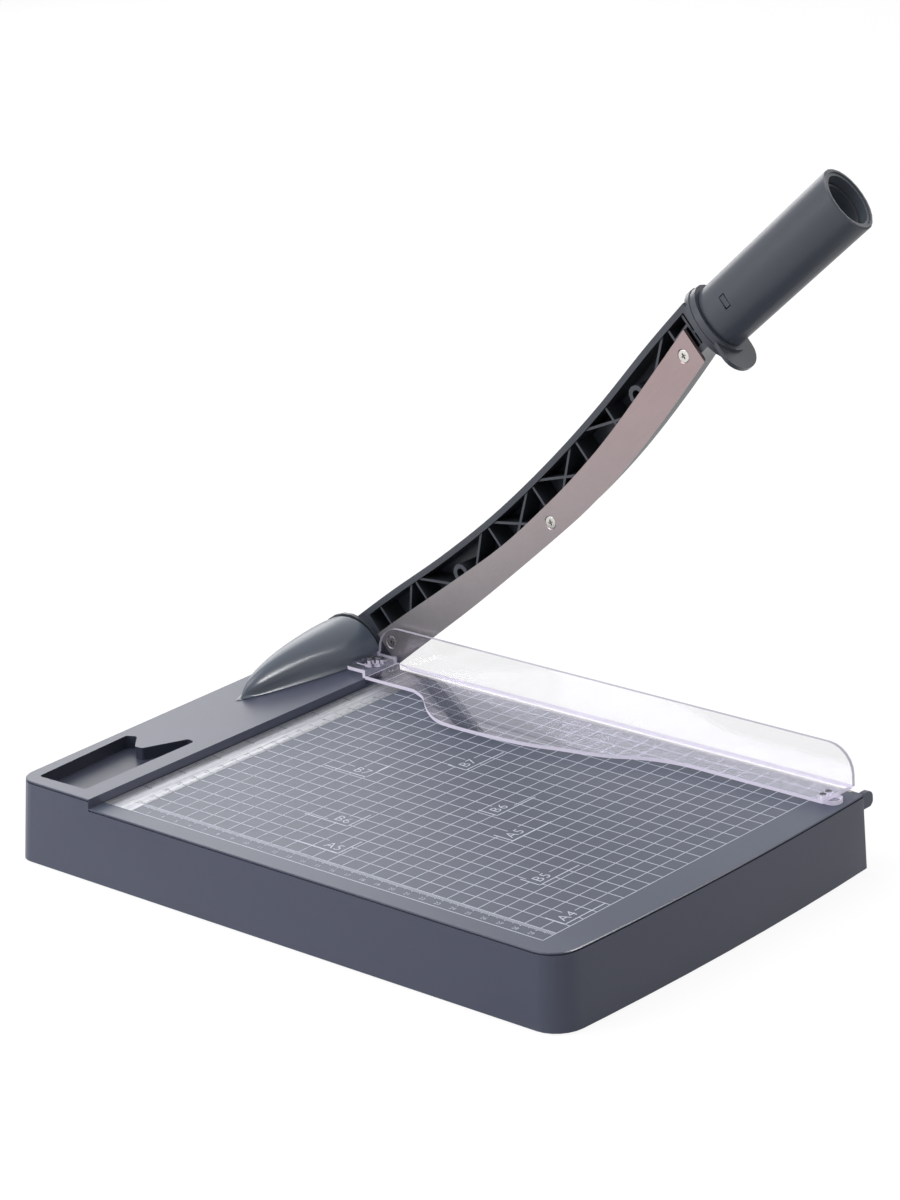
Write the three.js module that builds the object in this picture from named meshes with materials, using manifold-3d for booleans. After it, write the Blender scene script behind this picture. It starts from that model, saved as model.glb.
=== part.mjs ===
// Guillotine paper cutter for A4 sheets, in millimetres, +Z up.
// +X runs across the bed to the cut edge, +Y from the user to the fence. While it is being
// put together, zero is where the cut edge meets the fence, on the surface of the bed.

import * as THREE from 'three';
import { mergeVertices } from 'three/addons/utils/BufferGeometryUtils.js';
import Module from 'manifold-3d';

const wasm = await Module();
wasm.setup();

// Fits and drawing steps
const seat = 0.3;              // gap between two pieces that seat on each other
const overrun = 1;             // how far a cut runs past the face that it opens
const roundSteps = 24;         // sides of a round piece
const smallSteps = 12;         // sides of a screw or a small hole
const footSteps = 16;
const curveSteps = 6;          // steps in each half of a rounded corner
const edgeSteps = 40;          // steps along the long edges of the arm and the blade

// Bed and fence strip, one moulding
const bedWidth = 241.6;        // left side to the cut edge
const bedLength = 322;         // fence to the middle of the front edge
const bedHeight = 40.8;        // table to the bed surface
const frontBow = 3.5;          // how far the front edge bulges
const bowSteps = 8;
const stripRise = 5;           // fence strip above the bed
const stripDepthLeft = 54;     // fence to the rear edge, at the left side
const stripDepthRight = 59.5;  // and at the cut edge
const frontLeftRadius = 16;
const rearLeftRadius = 10.7;
const cutSideRadius = 2.5;
const lean = 2.8;              // how far the other three walls spread to the table
const leanEndShare = 0.46;     // of that, what is left where the front wall meets the cut side
const edgeBevel = 0.4;
const edgeLip = 0.2;           // height of the straight lip under the bevel
const edgeGroove = 0.8;        // height and depth of the groove under the lip
const shellWall = 3;
const deckSkin = 3;
const ribThickness = 1.6;
const ribSetback = 1.5;        // ribs stop above the rim
const ribPitch = 33.5;
const bossRadius = 4;
const bossDepth = 8;

// Storage tray in the strip, from the strip's left end
const trayDepth = 7;
const trayRim = 8.3;           // strip left of the tray
const trayNear = 11.8;         // fence to the near wall of the tray
const trayLength = 82.3;
const trayWidth = 37.2;
const trayShares = [           // corners: near left, finger end, inner notch, far side
  [0.016, 0], [0.985, 0], [1, 0.145], [0.715, 0.452], [0.709, 0.586],
  [0.84, 0.844], [0.812, 1], [0, 0.91],
];
const trayCorner = 2;
const trayWall = 2.5;

// End lug beside the cut edge, where the handle comes down
const lugReach = 7;
const lugLength = 3;
const lugDrop = 8.3;
const lugRise = 0.3;
const lugRound = 3.9;

// Rubber feet
const footInset = 12;
const footRadius = 7;
const footThickness = 3;
const footProud = 0.8;
const footBossRadius = 12.2;
const footBossHeight = 10;
const footStemRadius = 2.4;
const footStemLength = 5;

// Scale strip let into the bed
const scaleWidth = 20;
const scaleThickness = 0.5;
const scaleFence = 0.5;        // fence to the strip
const scaleEdge = 11.1;        // left side of the bed to the strip
const scaleEnd = 2.5;          // cut edge to the strip
const scaleLength = bedWidth - scaleEdge - scaleEnd;

// Fixed knife on the cut edge
const knifeThickness = 2;
const knifeHeight = 17;
const knifeSetback = 11;       // front edge to the fixed knife
const knifeLength = bedLength - knifeSetback;
const knifeRail = 9;           // thickness of the moulded rail behind it
const knifeRailHeight = 25;
const knifeScrews = 4;
const knifeScrewInset = 22;
const countersunkRadius = 3.7;
const countersunkDepth = 1.6;
const screwRadius = 1.9;       // shank of the larger screws
const knifeScrewLength = 7;

// Pivot, a sprung bolt that lies along X
const pivotY = 40;
const pivotZ = 0;
const boltRadius = 4;
const boltClearance = 0.35;
const boltHeadRadius = 7.4;
const boltHeadHeight = 5.3;
const boltInner = 52;          // cut edge to the inner end of the bolt
const hexSides = 6;
const washerThickness = 1.5;
const washerRadius = 9;
const nutHeight = 8;
const springRadius = 6.9;      // to the middle of the wire
const springWire = 2.1;
const springTurns = 5;
const springSidesPerTurn = 12;
const springWireSides = 6;
const springLength = 25;

// Well in the strip and the bearing bracket in it
const wellLength = 58;
const wellWidth = 27;
const wellDepth = 16;          // pivot axis to the floor of the well
const wellWall = 2.5;
const bracketThickness = 5;
const bracketWidth = 25;
const bracketEdge = 4.4;       // cut edge to the bracket's plate
const bracketFootThickness = 3;
const bracketFootLength = 44;
const bracketScrewShares = [0.45, 0.82];
const bushRadius = 7;
const bushFlangeRadius = 11;
const bushFlangeThickness = 2.2;

// Hood over the pivot
const hoodMouth = 1.8;         // cut edge to the open end
const hoodLength = 94.5;       // open end to the tip, along the strip
const hoodFoot = 23.4;         // half width of the foot at the open end
const hoodCrown = 23.1;        // half width of the crown there
const hoodRise = 19.9;         // foot to the top of the crown
const domeLength = 89;
const hoodShift = 2;           // pivot axis to the hood's centre line at the open end
const noseShift = 4.5;         // and at the tip
const footPower = 1.25;
const crownPower = 1.5;
const risePower = 2.1;
const hoodRound = 5;           // easing of the open end
const hoodEasing = 0.7;
const hoodRear = 3;            // rear edge at the cut side to the hood's flat back
const hoodWall = 2.4;
const hoodRoomSetback = 3.1;   // skin to the room inside, towards the middle of the foot
const hoodTip = 12;            // solid end of the nose
const hoodLip = 0.6;
const hoodStations = 16;
const hoodFluteSteps = 4;
const hoodCrownSteps = 6;
const hoodRidgeShare = 0.42;      // turn from the foot to the ridge, of a right angle
const hoodMouthRidgeShare = 0.12;
const hoodFluteShare = 0.9;       // width of the flute's bottom, of the crown's
const hoodPostRadius = 3.2;
const hoodScrewRadius = 1.4;
const hoodScrewHeadRadius = 2.8;
const hoodScrewHead = 2;
const hoodScrewReach = 6;         // length of the screw inside its post
const hoodNosePost = 62;          // cut edge to the post in the nose
const hoodSidePostX = 14;
const hoodSidePostY = 18.6;       // pivot axis to the post at the near side

// Blade arm, drawn along its own axis: u from the pivot to the handle, w square to it
const raisedAngle = THREE.MathUtils.degToRad(41.3);   // as it stands open
const collarSetback = 15.5;    // front edge to the collar
const armReach = pivotY + bedLength - collarSetback;
const armInner = 2.6;          // cut edge to the arm's open side
const armOuter = 20;
const armSkin = 3;
const armWall = 3.4;
const armTop = 17.6;
const armTopShares = [
  [0.04, 0.88], [0.154, 0.70], [0.296, 0.41], [0.439, 0.25],
  [0.588, 0.28], [0.739, 0.47], [0.894, 0.82], [1, 1],
];
const hubRadius = 25;
const hubInner = 0.6;
const hubFlange = 2.2;         // thickness of the disc that closes the hood
const hubCoreRadius = 17;
const hubBossRadius = 10;
const hubBossInner = 1.7;      // cut edge to the hub's thrust face, inwards
const hubBushRadius = 6.6;
const counterboreRadius = 11.4;
const counterboreDepth = 10;
const capThickness = 2.4;
const capProud = 0.8;
const armRibThickness = 1.4;
const armRibSetback = 1;
const ringBossRadius = 5.3;
const ringBossHole = 2.75;
const ringBossShares = [[0.31, -0.25], [0.826, -0.04]];
const armUprightShares = [0.111, 0.211, 0.413, 0.541, 0.668, 0.757, 0.945];
const endRibGap = 1.6;         // blade's end to the rib beside it
const endRibShare = 0.33;      // way down that rib to the web that ties it to the collar
const armBraceShares = [
  [0.208, 0.12], [0.208, 0.33], [0.405, 0.30], [0.415, 0.54],
  [0.540, 0.41], [0.542, 0.70], [0.666, 0.54], [0.677, 0.86], [0.944, 0.79],
];

// Moving blade
const bladeSetback = 7.5;      // collar to the end of the blade
const bladeReach = armReach - bladeSetback;
const bladeStart = 28;
const bladeThickness = 2;
const bladeGap = 0.3;          // cut edge to the blade's inner face
const bladeDrop = 29.1;        // arm axis to the lowest point of the cutting edge
const bladeProud = 5.2;         // cutting edge below the arm
const bladeBevel = 1.4;        // width of the ground edge
const cutEdgeShares = [
  [0, 0.72], [0.102, 0.766], [0.326, 0.924], [0.554, 1],
  [0.656, 0.99], [0.764, 0.893], [0.885, 0.694], [1, 0.45],
];
const innerEdgeShares = [
  [0, -0.04], [0.123, 0.072], [0.290, 0.271], [0.432, 0.416],
  [0.559, 0.419], [0.666, 0.361], [0.784, 0.203], [1, -0.23],
];
const bladeScrewShares = [[0.10, 0.337], [0.552, 0.715], [0.971, 0.12]];
const bladeScrewLength = 11;
const screwBossRadius = 5;

// Collar, finger guard and handle, all oval round one axis
const ovalShare = 0.64;        // width across X, of the height
const handleX = 12.5;
const handleW = 1.2;
const collarRadius = 20.9;     // half heights
const collarFlange = 3.6;
const collarLength = 8;
const collarEnd = 20;
const collarStep = 0.5;
const guardTongueDrop = 29.6;  // handle axis to the tip of the finger guard
const guardTongueWidth = 22.4;
const guardTongueThickness = 2.6;
const guardTongueSet = 3.2;    // collar's face to the finger guard
const gripLength = 109;
const gripStart = 17.2;
const gripEnd = 18;
const gripWall = 2.4;
const gripRound = 0.8;
const gripRim = 2;             // outside of the grip to the step in its mouth
const gripStep = 1;
const spigotLength = 14;
const tangRadius = 13.2;
const tangWall = 1.6;
const tangHollow = 12;
const tangSetback = 6.5;         // tang's end inside the grip's end
const snapFromCollar = 15.3;
const snapLength = 3;
const snapHeight = 6.4;
const snapRise = 2;            // handle axis to the middle of the snap
const snapProud = 0.3;
const snapGap = 0.6;

// Clear guard along the cut edge
const guardThickness = 2;
const guardLift = 2.4;         // paper gap under the plate
const guardEdge = 2.5;         // cut edge to the fin
const guardWidth = 27;
const guardShoulder = 9;       // fence to the place from where the plate rises to it
const guardShoulderRise = 1.8;
const guardBulge = 55;
const guardTop = 25.7;
const guardSetback = 10;       // front edge to the plate
const guardFront = bedLength - guardSetback;
const finFront = guardFront + guardThickness;
const finBack = 13.5;
const finRound = 15;
const tabDepth = 14.6;
const tabLift = 2.2;           // strip to the underside of the tab
const tabThickness = 2;
const tabLeft = 30.5;
const tabRound = 2;
const tabSunk = 0.7;           // depth of the sunk middle of the tab
const tabRim = 1.6;            // border round it
const tabLeftRim = 7;
const tabPostRadius = 3;
const bulgeShares = [
  [0.105, 0], [0.14, 0.17], [0.165, 0.42], [0.20, 0.73], [0.24, 0.95], [0.30, 1],
  [0.42, 0.92], [0.50, 0.72], [0.58, 0.50], [0.645, 0.18], [0.71, 0.02], [0.78, 0],
];
const guardFootInset = 4.5;    // left side of the plate to the foot
const guardFootWidth = 9.6;
const guardFootDepth = 13;
const guardFootProud = 4.5;    // foot in front of the plate
const guardFootRound = 4.5;
const guardPinInset = 5;       // front of the plate to the pins
const tabScrewX = 12;          // cut edge to the nearer tab screw
const tabScrewY = 7.2;         // fence to it
const tabScrewStep = 3.3;      // from it to the other, both ways
const guardScrewHead = 1;
const guardScrewHeadRadius = 1.9;
const guardScrewRadius = 1.1;
const guardScrewLength = 9;

// Materials
const finish = (color, roughness, metalness = 0, more = {}) =>
  new THREE.MeshStandardMaterial({ color, roughness, metalness, ...more });
const bodyPlastic = finish('#5f6271', 0.5);
const hoodPlastic = finish('#67727f', 0.38);
const armPlastic = finish('#4a515e', 0.45);
const gripPlastic = finish('#4b525f', 0.42);
const bladeSteel = finish('#988c8a', 0.34, 0.9);
const screwSteel = finish('#cfcac2', 0.25, 1);
const darkSteel = finish('#54575c', 0.4, 0.9);
const bronze = finish('#9a7b4a', 0.4, 0.8);
const scaleMetal = finish('#c9cdd2', 0.35, 0.6);
const rubber = finish('#1c1d20', 0.85);
const clearPlastic = finish('#cfcfe8', 0.08, 0, { transparent: true, opacity: 0.4 });

// Solids from closed geometries
function solid(geometry) {
  const bare = geometry.index ? geometry.toNonIndexed() : geometry.clone();
  for (const name of Object.keys(bare.attributes)) {
    if (name !== 'position') bare.deleteAttribute(name);
  }
  const merged = mergeVertices(bare);
  const corners = merged.index.array;
  const kept = [];
  for (let i = 0; i < corners.length; i += 3) {
    const [a, b, c] = corners.slice(i, i + 3);
    if (a !== b && b !== c && c !== a) kept.push(a, b, c);
  }
  return new wasm.Manifold(new wasm.Mesh({
    numProp: 3,
    vertProperties: Float32Array.from(merged.attributes.position.array),
    triVerts: Uint32Array.from(kept),
  }));
}

function geometryOf(body) {
  const mesh = body.getMesh();
  const geometry = new THREE.BufferGeometry();
  geometry.setAttribute('position', new THREE.BufferAttribute(mesh.vertProperties, 3));
  geometry.setIndex(new THREE.BufferAttribute(mesh.triVerts, 1));
  geometry.computeVertexNormals();
  return geometry;
}

const joined = (first, ...others) => others.reduce((whole, other) => whole.add(other), first);
const cut = (first, ...tools) => tools.reduce((rest, tool) => rest.subtract(tool), first);

// Primitive solids, named by the axis they run along
function slab([x0, x1], [y0, y1], [z0, z1]) {
  const box = new THREE.BoxGeometry(x1 - x0, y1 - y0, z1 - z0);
  return solid(box.translate((x0 + x1) / 2, (y0 + y1) / 2, (z0 + z1) / 2));
}

const axes = {
  x: new THREE.Matrix4().makeBasis(
    new THREE.Vector3(0, 1, 0), new THREE.Vector3(0, 0, 1), new THREE.Vector3(1, 0, 0)),
  y: new THREE.Matrix4().makeBasis(
    new THREE.Vector3(0, 0, 1), new THREE.Vector3(1, 0, 0), new THREE.Vector3(0, 1, 0)),
  z: new THREE.Matrix4(),
};

// A plate whose outline lies square to the axis: (y, z) for x, (z, x) for y, (x, y) for z
function plate(axis, shape, [from, to], round = 0) {
  const geometry = new THREE.ExtrudeGeometry(shape, {
    depth: to - from - 2 * round,
    curveSegments: curveSteps,
    bevelEnabled: round > 0,
    bevelThickness: round,
    bevelSize: round,
    bevelOffset: -round,
    bevelSegments: 2,
  });
  return solid(geometry.translate(0, 0, from + round).applyMatrix4(axes[axis]));
}

// A piece turned round an axis from a profile of [place along the axis, radius]
function turned(axis, profile, [a, b], steps = roundSteps) {
  const points = profile.map(([along, radius]) => new THREE.Vector2(radius, along));
  const lathe = new THREE.LatheGeometry(points, steps).rotateX(Math.PI / 2);
  return solid(lathe.translate(a, b, 0).applyMatrix4(axes[axis]));
}

function rod(axis, centre, radius, [from, to], steps = roundSteps) {
  const [low, high] = [Math.min(from, to), Math.max(from, to)];
  return turned(axis, [[low, 0], [low, radius], [high, radius], [high, 0]], centre, steps);
}

// Points round a closed outline of [a, b, radius] corners, counterclockwise, grown by a distance
function outlinePoints(corners, grow = 0) {
  const count = corners.length;
  const points = corners.map(([a, b]) => new THREE.Vector2(a, b));
  const side = (i) => points[(i + 1) % count].clone().sub(points[i % count]).normalize();
  return points.flatMap((point, i) => {
    const [before, after] = [side(i + count - 1), side(i)];
    const out = new THREE.Vector2(before.y + after.y, -before.x - after.x);
    const corner = point.clone().addScaledVector(out, grow / (1 + before.dot(after)));
    const turn = before.cross(after);
    const round = corners[i][2] ?? 0;
    const radius = round + grow * Math.sign(turn);
    if (round === 0 || radius <= 0 || Math.abs(turn) < Number.EPSILON) return [corner];
    const half = Math.acos(before.dot(after)) / 2;
    const inward = after.clone().sub(before).normalize();
    const middle = corner.clone().addScaledVector(inward, radius / Math.cos(half));
    const start = new THREE.Vector2(before.y, -before.x).multiplyScalar(radius * Math.sign(turn));
    return Array.from({ length: curveSteps + 1 }, (_, step) => start.clone()
      .rotateAround(new THREE.Vector2(), (2 * half * Math.sign(turn) * step) / curveSteps).add(middle));
  });
}

const rounded = (corners, grow = 0) => new THREE.Shape(outlinePoints(corners, grow));

// Joins rings of points, each the same count, into one closed skin with flat ends
function loft(rings) {
  const size = rings[0].length;
  const positions = rings.flat(2);
  const index = [];
  for (let i = 0; i + 1 < rings.length; i += 1) {
    for (let j = 0; j < size; j += 1) {
      const [a, b] = [i * size + j, i * size + (j + 1) % size];
      index.push(a, b, b + size, a, b + size, a + size);
    }
  }
  const last = (rings.length - 1) * size;
  for (let j = 1; j + 1 < size; j += 1) {
    index.push(0, j + 1, j, last, last + j, last + j + 1);
  }
  const geometry = new THREE.BufferGeometry();
  geometry.setAttribute('position', new THREE.Float32BufferAttribute(positions, 3));
  geometry.setIndex(index);
  return solid(geometry);
}

// The model and its two bodies
const model = new THREE.Group();
const arm = new THREE.Group();
arm.position.set(0, pivotY, pivotZ);
arm.rotation.x = -raisedAngle;
model.add(arm);

function piece(name, body, material, parent = model) {
  const mesh = new THREE.Mesh(geometryOf(body), material);
  mesh.name = name;
  parent.add(mesh);
}

// Heights and edges that several pieces share
const left = -bedWidth;
const front = -bedLength;
const table = -bedHeight;
const rim = table + footProud;
const stripUnder = stripRise - deckSkin;
const wellFloor = pivotZ - wellDepth;

// Bed outline at one height: straight sides, a bowed front edge, a slightly raked rear edge
function bedRing(z, grow = 0) {
  const spread = (-z * lean) / bedHeight;
  const frontEdge = [];
  for (let i = 0; i <= bowSteps; i += 1) {
    const share = i / bowSteps;
    frontEdge.push([(left - spread) * (1 - share), front + frontBow * (2 * share - 1) ** 2
      - spread * THREE.MathUtils.lerp(1, leanEndShare, share ** 3)]);
  }
  frontEdge[0].push(frontLeftRadius);
  frontEdge[bowSteps].push(cutSideRadius);
  return outlinePoints([
    [left - spread, stripDepthLeft + spread, rearLeftRadius],
    ...frontEdge,
    [0, stripDepthRight + spread, cutSideRadius],
  ], grow).map(({ x, y }) => [x, y, z]);
}

// Storage tray: a pocket with a finger end that narrows along the fence
function trayOutline(grow = 0) {
  return rounded(trayShares.map(([along, across]) => [
    left + trayRim + trayLength * along, trayNear + trayWidth * across, trayCorner,
  ]), grow);
}

// Places of the screws and feet, shared by the pieces that they join
const feet = {
  foot_front_left: [left + footInset, front + frontBow + footInset],
  foot_front_right: [-footBossRadius - shellWall / 2, front + frontBow + footInset],
  foot_rear_left: [left + footInset, stripDepthLeft - footInset],
  foot_rear_right: [-wellLength - footBossRadius, stripDepthRight - footInset],
};
const knifeFront = -knifeLength;
const knifeScrewPlaces = Array.from({ length: knifeScrews }, (_, i) => {
  const span = knifeLength - 2 * knifeScrewInset;
  return [knifeFront + knifeScrewInset + (span * i) / (knifeScrews - 1), -knifeHeight / 2];
});
const hoodScrewPlaces = [
  [-hoodNosePost, pivotY - (hoodShift + noseShift) / 2],
  [-hoodSidePostX, pivotY - hoodSidePostY],
];
const guardScrewPlaces = [
  [-tabScrewX - tabScrewStep, tabScrewY + tabScrewStep],
  [-tabScrewX, tabScrewY],
];
const guardFootX = -guardWidth + guardFootInset;
const guardPinPlaces = [
  [guardFootX + guardFootWidth / 4, -guardFront + guardPinInset],
  [guardFootX + (3 * guardFootWidth) / 4, -guardFront + guardPinInset],
];
const bracketScrewPlaces = bracketScrewShares.map(
  (share) => [-bracketEdge - bracketFootLength * share, pivotY]);

// Fills under the skin that carry the tray, the well, the feet and the screws
function baseFills() {
  const fills = [
    plate('z', trayOutline(trayWall), [stripRise - trayDepth - deckSkin, stripUnder + overrun]),
    slab([-wellLength - wellWall, -shellWall / 2],
      [pivotY - wellWidth / 2 - wellWall, pivotY + wellWidth / 2 + wellWall],
      [wellFloor - deckSkin, stripUnder + overrun]),
    slab([-knifeRail, -shellWall / 2],
      [front + frontBow + shellWall / 2, shellWall], [-knifeRailHeight, -deckSkin / 2]),
  ];
  for (const centre of Object.values(feet)) {
    fills.push(rod('z', centre, footBossRadius, [rim, rim + footBossHeight], footSteps));
  }
  for (const centre of guardPinPlaces) {
    fills.push(rod('z', centre, bossRadius, [-bossDepth, -deckSkin / 2], smallSteps));
  }
  for (const centre of guardScrewPlaces) {
    fills.push(rod('z', centre, bossRadius, [stripUnder - bossDepth, stripUnder + overrun], smallSteps));
  }
  return fills;
}

// A square grid of ribs under the whole bed
function ribGrid() {
  const [low, high] = [rim + ribSetback, stripRise];
  const rear = Math.max(stripDepthLeft, stripDepthRight);
  const ribs = [];
  const across = Math.round(bedWidth / ribPitch);
  for (let i = 1; i < across; i += 1) {
    const x = (left * i) / across;
    ribs.push(slab([x - ribThickness / 2, x + ribThickness / 2], [front, rear], [low, high]));
  }
  const along = Math.round((bedLength + rear) / ribPitch);
  for (let i = 1; i < along; i += 1) {
    const y = front + ((bedLength + rear) * i) / along;
    ribs.push(slab([left, 0], [y - ribThickness / 2, y + ribThickness / 2], [low, high]));
  }
  return joined(...ribs);
}

// The lug is rounded over its outer top edge, so the handle comes down beside it
function endLug() {
  const outline = rounded([
    [-shellWall / 2, -lugDrop],
    [lugReach - lugRound / 2, -lugDrop, lugRound / 2],
    [lugReach, -lugDrop + lugRound / 2, lugRound / 2],
    [lugReach, lugRise, lugRound],
    [-shellWall / 2, lugRise, lugRound / 2],
  ].map(([x, z, radius]) => [z, x, radius]).reverse());
  const start = front + frontBow + seat;
  return plate('y', outline, [start, start + lugLength]);
}

// Openings through the skin: tray, well, knife seat, scale seat and all screw holes
function baseCuts() {
  const above = stripRise + overrun;
  const cuts = [
    plate('z', trayOutline(), [stripRise - trayDepth, above]),
    slab([-wellLength, overrun], [pivotY - wellWidth / 2, pivotY + wellWidth / 2], [wellFloor, above]),
    slab([-knifeThickness - seat, overrun], [knifeFront - seat, 0], [-knifeHeight - seat, overrun]),
    slab([left + scaleEdge - seat, left + scaleEdge + scaleLength + seat],
      [-scaleFence - scaleWidth - seat, 0], [-scaleThickness - seat, overrun]),
    slab([-tabLeft - seat, overrun], [-overrun, guardThickness + seat], [0, above]),
  ];
  for (const centre of Object.values(feet)) {
    const top = rim + footThickness - footProud + seat;
    cuts.push(rod('z', centre, footRadius + seat, [table - overrun, top], footSteps));
    cuts.push(rod('z', centre, footStemRadius + seat, [rim, top + footStemLength], smallSteps));
  }
  for (const centre of knifeScrewPlaces) {
    cuts.push(rod('x', centre, screwRadius + seat, [-knifeScrewLength - seat, 0], smallSteps));
  }
  for (const centre of hoodScrewPlaces) {
    cuts.push(rod('z', centre, hoodScrewRadius + seat, [stripUnder - overrun, above], smallSteps));
    cuts.push(rod('z', centre, hoodScrewHeadRadius * 2, [table, stripUnder]));
  }
  for (const centre of guardPinPlaces) {
    cuts.push(rod('z', centre, guardScrewRadius + seat, [-guardScrewLength, overrun], smallSteps));
  }
  for (const centre of guardScrewPlaces) {
    cuts.push(rod('z', centre, guardScrewRadius + seat, [stripUnder - guardScrewLength, above], smallSteps));
  }
  for (const centre of bracketScrewPlaces) {
    cuts.push(rod('z', centre, screwRadius + seat, [wellFloor - deckSkin - overrun, above], smallSteps));
  }
  return cuts;
}

// The whole bed block, grown or shrunk, up to the bed and up to the strip
function bedBlock(bottom, bed, strip, grow) {
  const step = slab([2 * left, bedWidth], [-2 * bedLength, -grow], [bed, bedHeight]);
  return loft([bedRing(bottom, grow), bedRing(strip, grow)]).subtract(step);
}

// What comes off round the top of one level: a bevel, a lip and a groove below it
function edgeTrim(top, span) {
  const lip = top - edgeBevel - edgeLip;
  const groove = lip - edgeGroove;
  const kept = loft([
    bedRing(rim - overrun, overrun), bedRing(groove, overrun), bedRing(groove, -edgeGroove),
    bedRing(lip, -edgeGroove), bedRing(lip, edgeLip), bedRing(top, -edgeBevel),
  ]);
  return slab([2 * left, bedWidth], span, [2 * table, bedHeight]).subtract(kept);
}

function baseShell() {
  const outer = cut(loft([bedRing(rim), bedRing(stripRise)]),
    edgeTrim(0, [-2 * bedLength, 0]), edgeTrim(stripRise, [0, bedLength]));
  const hollow = bedBlock(rim - overrun, -deckSkin, stripUnder, -shellWall);
  const core = bedBlock(rim, -deckSkin / 2, stripUnder + deckSkin / 2, -shellWall / 2);
  const ribbed = outer.subtract(hollow).add(ribGrid().intersect(core));
  const filled = joined(ribbed, ...baseFills(), endLug());
  return cut(filled, ...baseCuts());
}

piece('base_shell', baseShell(), bodyPlastic);

// Rubber feet with a stem that presses into the boss
for (const [name, centre] of Object.entries(feet)) {
  const top = table + footThickness;
  piece(name, turned('z', [
    [table, 0], [table, footRadius - footProud], [table + footProud, footRadius],
    [top, footRadius], [top, footStemRadius], [top + footStemLength, footStemRadius],
    [top + footStemLength, 0],
  ], centre, footSteps), rubber);
}

// Scale strip beside the fence
piece('scale_strip', slab(
  [left + scaleEdge, left + scaleEdge + scaleLength],
  [-scaleFence - scaleWidth, -scaleFence],
  [-scaleThickness, 0],
), scaleMetal);

// Fixed knife, flush with the bed and with the side, and its countersunk screws
function fixedKnife() {
  const bar = slab([-knifeThickness, 0], [knifeFront, -seat], [-knifeHeight, 0]);
  const holes = knifeScrewPlaces.map((centre) => turned('x', [
    [-knifeThickness - overrun, 0],
    [-knifeThickness - overrun, screwRadius + seat],
    [-countersunkDepth - seat, screwRadius + seat],
    [0, countersunkRadius + seat],
    [overrun, countersunkRadius + seat],
    [overrun, 0],
  ], centre, smallSteps));
  return cut(bar, ...holes);
}

piece('fixed_knife', fixedKnife(), bladeSteel);
knifeScrewPlaces.forEach((centre, i) => {
  piece(`knife_screw_${i + 1}`, turned('x', [
    [-knifeScrewLength, 0], [-knifeScrewLength, screwRadius],
    [-countersunkDepth - seat, screwRadius], [-seat, countersunkRadius], [-seat, 0],
  ], centre, smallSteps), screwSteel);
});

// Bearing bracket: a plate across the well with a foot along its floor
function pivotBracket() {
  const plateX = [-bracketEdge - bracketThickness, -bracketEdge];
  const low = wellFloor + seat;
  const half = bracketWidth / 2;
  const top = pivotZ + half;
  const upright = plate('x', rounded([
    [pivotY - half, low], [pivotY + half, low],
    [pivotY + half, top, half - seat], [pivotY - half, top, half - seat],
  ]), plateX);
  const foot = slab([-bracketEdge - bracketFootLength, -bracketEdge],
    [pivotY - half, pivotY + half], [low, low + bracketFootThickness]);
  const bore = rod('x', [pivotY, pivotZ], bushRadius + seat, [plateX[0] - overrun, overrun]);
  const holes = bracketScrewPlaces.map((centre) => rod('z', centre, screwRadius + seat,
    [low - overrun, low + bracketFootThickness + overrun], smallSteps));
  return cut(upright.add(foot), bore, ...holes);
}

piece('pivot_bracket', pivotBracket(), darkSteel);
bracketScrewPlaces.forEach((centre, i) => {
  const head = wellFloor + seat + bracketFootThickness + seat;
  piece(`bracket_screw_${i + 1}`, turned('z', [
    [wellFloor - deckSkin, 0], [wellFloor - deckSkin, screwRadius],
    [head, screwRadius], [head, countersunkRadius],
    [head + washerThickness, countersunkRadius], [head + washerThickness, 0],
  ], centre, smallSteps), screwSteel);
});

// Flanged bush in the bracket, which the hub bears against
const bushBore = boltRadius + boltClearance;
const bushFace = -bracketEdge + seat + bushFlangeThickness;
piece('bracket_bush', turned('x', [
  [-bracketEdge - bracketThickness, bushBore], [-bracketEdge - bracketThickness, bushRadius],
  [-bracketEdge + seat, bushRadius], [-bracketEdge + seat, bushFlangeRadius],
  [bushFace, bushFlangeRadius], [bushFace, bushBore],
  [-bracketEdge - bracketThickness, bushBore],
], [pivotY, pivotZ]), bronze);

// Thrust washer behind the bracket, where the spring pushes
const washerOut = -bracketEdge - bracketThickness - seat;
const washerProfile = (from, radius) => [
  [from, bushBore], [from, radius], [from + washerThickness, radius],
  [from + washerThickness, bushBore], [from, bushBore],
];
piece('thrust_washer', turned('x', washerProfile(washerOut - washerThickness, washerRadius),
  [pivotY, pivotZ]), darkSteel);

// Bolt, spring, washer and nut turn with the arm, so they are drawn round its axis
const boltHeadFace = armOuter - counterboreDepth + seat + washerThickness + seat;
const springStart = washerOut - washerThickness - seat;
const springEnd = springStart - springLength;
const nutStart = springEnd - seat - washerThickness - seat;

function pivotBolt() {
  const shank = rod('x', [0, 0], boltRadius, [-boltInner, boltHeadFace + seat]);
  const head = rod('x', [0, 0], boltHeadRadius, [boltHeadFace, boltHeadFace + boltHeadHeight], hexSides);
  return shank.add(head);
}

function lockNut() {
  const hex = rod('x', [0, 0], boltHeadRadius, [nutStart - nutHeight, nutStart], hexSides);
  return hex.subtract(rod('x', [0, 0], bushBore, [nutStart - nutHeight - overrun, nutStart + overrun]));
}

class Helix extends THREE.Curve {
  getPoint(share, target = new THREE.Vector3()) {
    const turns = 2 * Math.PI * springTurns * share;
    const travel = springLength - springWire;
    return target.set(
      springStart - springWire / 2 - travel * share,
      springRadius * Math.cos(turns),
      springRadius * Math.sin(turns),
    );
  }
}

function pivotSpring() {
  const wire = new THREE.Shape();
  wire.absarc(0, 0, springWire / 2, 0, 2 * Math.PI);
  return solid(new THREE.ExtrudeGeometry(wire, {
    extrudePath: new Helix(),
    steps: springTurns * springSidesPerTurn,
    curveSegments: springWireSides / 2,
  }));
}

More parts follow.
